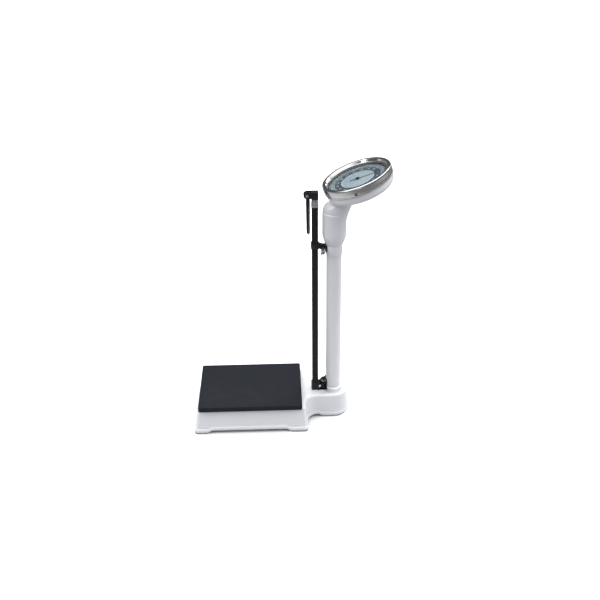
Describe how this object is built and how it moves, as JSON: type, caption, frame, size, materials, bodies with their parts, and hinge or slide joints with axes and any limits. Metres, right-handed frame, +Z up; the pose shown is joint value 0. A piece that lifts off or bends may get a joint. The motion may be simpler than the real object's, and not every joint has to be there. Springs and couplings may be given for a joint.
{
  "type": "dial column scale",
  "caption": "Mechanical platform scale with a tilted round dial on a white column, and a black square telescopic height rod with a folding arm.",
  "frame": {"origin": "on the floor, under the middle of the whole object's box", "axes": "+Z up; -Y is the platform end where the person stands, +Y the column end; +X to the right of someone facing the dial"},
  "size_m": [0.2826, 0.6829, 0.948],
  "materials": {
    "white_paint": "gloss enamel",
    "black_paint": "satin powder coat",
    "black_plastic": "moulded, fine grain",
    "mat_rubber": "fine ribbed, semi-matt",
    "foot_rubber": "matt",
    "chrome_trim": "polished",
    "bright_steel": "brushed",
    "zinc_steel": "zinc plated",
    "brass_gear": "machined",
    "lever_iron": "cast, grey primer",
    "dial_print": "printed dial",
    "pointer_paint": "gloss",
    "dial_glass": "clear, polished"
  },
  "bodies": {
    "base": {"base_casting": "white_paint", "foot_pads": "foot_rubber", "fulcrum_blocks": "zinc_steel", "block_screws": "bright_steel", "column_collar": "white_paint", "collar_bolts": "bright_steel", "column_tube": "white_paint", "neck_ring": "white_paint", "neck_ring_screws": "bright_steel", "head_casting": "white_paint", "movement_plate": "zinc_steel", "movement_screws": "bright_steel", "dial_pillars": "zinc_steel", "dial_face": "dial_print", "dial_bezel": "chrome_trim", "bezel_screws": "bright_steel", "dial_glass": "dial_glass", "glass_gasket": "foot_rubber", "crank_bracket": "zinc_steel", "crank_pivot_pin": "zinc_steel", "rack_guides": "zinc_steel", "rod_outer_tube": "black_paint", "rod_end_plug": "black_plastic", "rod_collar": "bright_steel", "upper_bracket": "black_paint", "lower_bracket": "black_paint", "bracket_screws": "bright_steel"},
    "platform": {"platform_plate": "zinc_steel", "platform_mat": "mat_rubber", "platform_bearings": "zinc_steel", "platform_bolts": "bright_steel"},
    "long_lever": {"long_lever": "lever_iron", "long_lever_knives": "zinc_steel", "lever_link": "zinc_steel"},
    "short_lever": {"short_lever": "lever_iron", "short_lever_knives": "zinc_steel"},
    "draw_rod": {"draw_stirrup": "zinc_steel", "draw_rod": "zinc_steel", "draw_pin": "zinc_steel", "spring_yoke": "zinc_steel", "draw_rod_nuts": "zinc_steel"},
    "spring_hanger": {"spring_hanger": "zinc_steel", "main_springs": "zinc_steel"},
    "zero_knob": {"zero_knob": "black_plastic", "zero_eccentric": "zinc_steel"},
    "bell_crank": {"bell_crank": "lever_iron"},
    "rack": {"rack": "zinc_steel"},
    "pointer": {"pinion_arbor": "brass_gear", "pointer": "pointer_paint", "pointer_cap": "black_plastic"},
    "middle_tube": {"rod_middle_tube": "black_paint", "middle_collar": "bright_steel"},
    "inner_tube": {"rod_inner_tube": "bright_steel", "arm_bracket": "black_plastic", "arm_pivot_screw": "bright_steel"},
    "arm": {"arm_bar": "black_plastic", "arm_blade": "bright_steel", "blade_rivets": "bright_steel"},
    "upper_wing_screw": {"upper_wing_screw": "bright_steel"},
    "lower_wing_screw": {"lower_wing_screw": "black_plastic"}
  },
  "joints": [
    {"name": "platform_sink", "type": "slide", "parent": "base", "child": "platform", "axis": [0, 0, -1], "range_m": [0, 0.002], "stiffness_N_per_m": 400000, "springref_m": -0.0003},
    {"name": "long_lever_pivot", "type": "hinge", "parent": "base", "child": "long_lever", "pos_m": [0, -0.3, 0.05], "axis": [-1, 0, 0], "range_deg": [0, 2]},
    {"name": "short_lever_pivot", "type": "hinge", "parent": "base", "child": "short_lever", "pos_m": [0, 0.02, 0.05], "axis": [1, 0, 0], "range_deg": [0, 2]},
    {"name": "draw_rod_slide", "type": "slide", "parent": "base", "child": "draw_rod", "axis": [0, 0, -1], "range_m": [0, 0.0154], "deforming": ["main_springs"]},
    {"name": "bell_crank_pivot", "type": "hinge", "parent": "base", "child": "bell_crank", "pos_m": [0, 0.18586, 0.82543], "axis": [1, 0, 0], "range_deg": [0, 31.5]},
    {"name": "rack_slide", "type": "slide", "parent": "base", "child": "rack", "axis": [0, -0.9421, -0.3355], "range_m": [0, 0.0217]},
    {"name": "pointer_turn", "type": "hinge", "parent": "base", "child": "pointer", "pos_m": [0, 0.225, 0.91077], "axis": [0, -0.3355, 0.9421], "range_deg": [-354, 0]},
    {"name": "zero_turn", "type": "hinge", "parent": "base", "child": "zero_knob", "pos_m": [0, 0.158, 0.783], "axis": [1, 0, 0], "range_deg": [-30, 30]},
    {"name": "hanger_lift", "type": "slide", "parent": "base", "child": "spring_hanger", "axis": [0, 0, 1], "range_m": [-0.001, 0.001]},
    {"name": "rod_lower_stage", "type": "slide", "parent": "base", "child": "middle_tube", "axis": [0, 0, 1], "range_m": [0, 0.58]},
    {"name": "rod_upper_stage", "type": "slide", "parent": "middle_tube", "child": "inner_tube", "axis": [0, 0, 1], "range_m": [0, 0.58]},
    {"name": "arm_fold", "type": "hinge", "parent": "inner_tube", "child": "arm", "pos_m": [0, 0.068, 0.842], "axis": [-1, 0, 0], "range_deg": [0, 90]},
    {"name": "upper_wing_turn", "type": "hinge", "parent": "base", "child": "upper_wing_screw", "pos_m": [0, 0.119, 0.654], "axis": [1, 0, 0], "range_deg": [0, 360]},
    {"name": "lower_wing_turn", "type": "hinge", "parent": "base", "child": "lower_wing_screw", "pos_m": [0, 0.119, 0.126], "axis": [1, 0, 0], "range_deg": [0, 360]}
  ],
  "couplings": [
    {"joint": "long_lever_pivot", "follows": "platform_sink", "rad_per_m": 16.667},
    {"joint": "short_lever_pivot", "follows": "platform_sink", "rad_per_m": 16.667},
    {"joint": "draw_rod_slide", "follows": "platform_sink", "ratio": 7.6333},
    {"joint": "bell_crank_pivot", "follows": "platform_sink", "rad_per_m": 272.27},
    {"joint": "rack_slide", "follows": "platform_sink", "ratio": 10.757},
    {"joint": "pointer_turn", "follows": "platform_sink", "rad_per_m": -3073.4},
    {"joint": "zero_turn", "follows": "hanger_lift", "rad_per_m": 500}
  ]
}
